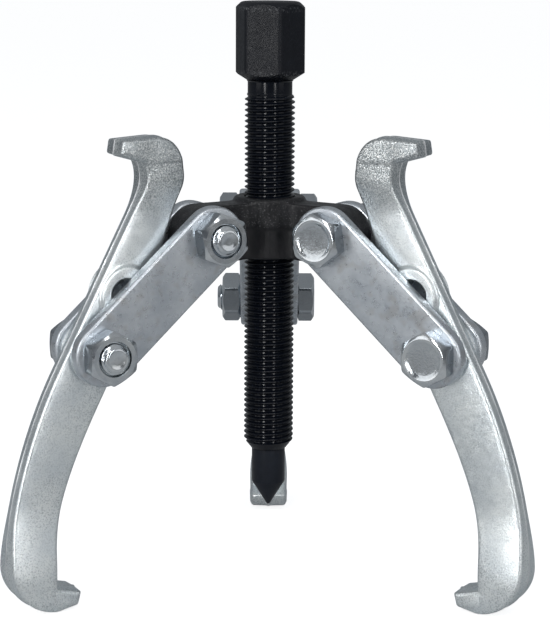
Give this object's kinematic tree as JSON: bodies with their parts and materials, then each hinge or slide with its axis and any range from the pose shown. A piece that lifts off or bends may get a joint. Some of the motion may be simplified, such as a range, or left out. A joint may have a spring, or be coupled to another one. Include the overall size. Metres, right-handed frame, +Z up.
{
  "type": "gear puller",
  "caption": "Reversible three-jaw gear puller: a forcing screw with a hexagon head and tapered point turns in a forged yoke, with double-link arms carrying two-ended claw jaws.",
  "frame": {"origin": "on the forcing screw's axis, at the middle of the round shank of its pressure point", "axes": "+Z up along the forcing screw towards its hexagon head; +Y along the arm furthest from the viewer, the other two arms at 210 and 330 degrees from +X"},
  "size_m": [0.1438, 0.1247, 0.1602],
  "materials": {
    "yoke_forging": "matt black oxide on a forged surface",
    "screw_black_oxide": "glossy oiled black oxide",
    "point_black_oxide": "satin black oxide, hardened",
    "jaw_zinc": "bright zinc plate on a grainy drop-forged surface",
    "link_zinc": "smooth zinc plate with bright sheared edges",
    "fastener_zinc": "bright zinc plate"
  },
  "bodies": {
    "yoke": {"yoke": "yoke_forging"},
    "point": {"screw_point": "point_black_oxide"},
    "screw": {"forcing_screw": "screw_black_oxide"},
    "arm_1_links": {"arm_1_link_nut_side": "link_zinc", "arm_1_link_head_side": "link_zinc", "arm_1_upper_bolt": "fastener_zinc", "arm_1_upper_nut": "fastener_zinc", "arm_1_lower_bolt": "fastener_zinc", "arm_1_lower_nut": "fastener_zinc"},
    "arm_1_claw": {"arm_1_jaw": "jaw_zinc"},
    "arm_2_links": {"arm_2_link_nut_side": "link_zinc", "arm_2_link_head_side": "link_zinc", "arm_2_upper_bolt": "fastener_zinc", "arm_2_upper_nut": "fastener_zinc", "arm_2_lower_bolt": "fastener_zinc", "arm_2_lower_nut": "fastener_zinc"},
    "arm_2_claw": {"arm_2_jaw": "jaw_zinc"},
    "arm_3_links": {"arm_3_link_nut_side": "link_zinc", "arm_3_link_head_side": "link_zinc", "arm_3_upper_bolt": "fastener_zinc", "arm_3_upper_nut": "fastener_zinc", "arm_3_lower_bolt": "fastener_zinc", "arm_3_lower_nut": "fastener_zinc"},
    "arm_3_claw": {"arm_3_jaw": "jaw_zinc"}
  },
  "joints": [
    {"name": "screw_turn", "type": "hinge", "parent": "point", "child": "screw", "pos_m": [0, 0, 0.009], "axis": [0, 0, 1], "range_deg": [-6122, 12602]},
    {"name": "screw_feed", "type": "slide", "parent": "yoke", "child": "point", "axis": [0, 0, 1], "range_m": [-0.0255, 0.0525]},
    {"name": "arm_1_link_swing", "type": "hinge", "parent": "yoke", "child": "arm_1_links", "pos_m": [-0.01836, -0.0106, 0.0666], "axis": [-0.5, 0.866, 0], "range_deg": [-12, 41]},
    {"name": "arm_1_jaw_swing", "type": "hinge", "parent": "arm_1_links", "child": "arm_1_claw", "pos_m": [-0.04677, -0.027, 0.03788], "axis": [-0.5, 0.866, 0], "range_deg": [-30, 4.5]},
    {"name": "arm_2_link_swing", "type": "hinge", "parent": "yoke", "child": "arm_2_links", "pos_m": [0.01836, -0.0106, 0.0666], "axis": [-0.5, -0.866, 0], "range_deg": [-12, 41]},
    {"name": "arm_2_jaw_swing", "type": "hinge", "parent": "arm_2_links", "child": "arm_2_claw", "pos_m": [0.04677, -0.027, 0.03788], "axis": [-0.5, -0.866, 0], "range_deg": [-30, 4.5]},
    {"name": "arm_3_link_swing", "type": "hinge", "parent": "yoke", "child": "arm_3_links", "pos_m": [0, 0.0212, 0.0666], "axis": [1, 0, 0], "range_deg": [-12, 41]},
    {"name": "arm_3_jaw_swing", "type": "hinge", "parent": "arm_3_links", "child": "arm_3_claw", "pos_m": [0, 0.054, 0.03788], "axis": [1, 0, 0], "range_deg": [-30, 4.5]}
  ],
  "couplings": [
    {"joint": "screw_turn", "follows": "screw_feed", "rad_per_m": 4188.8}
  ]
}
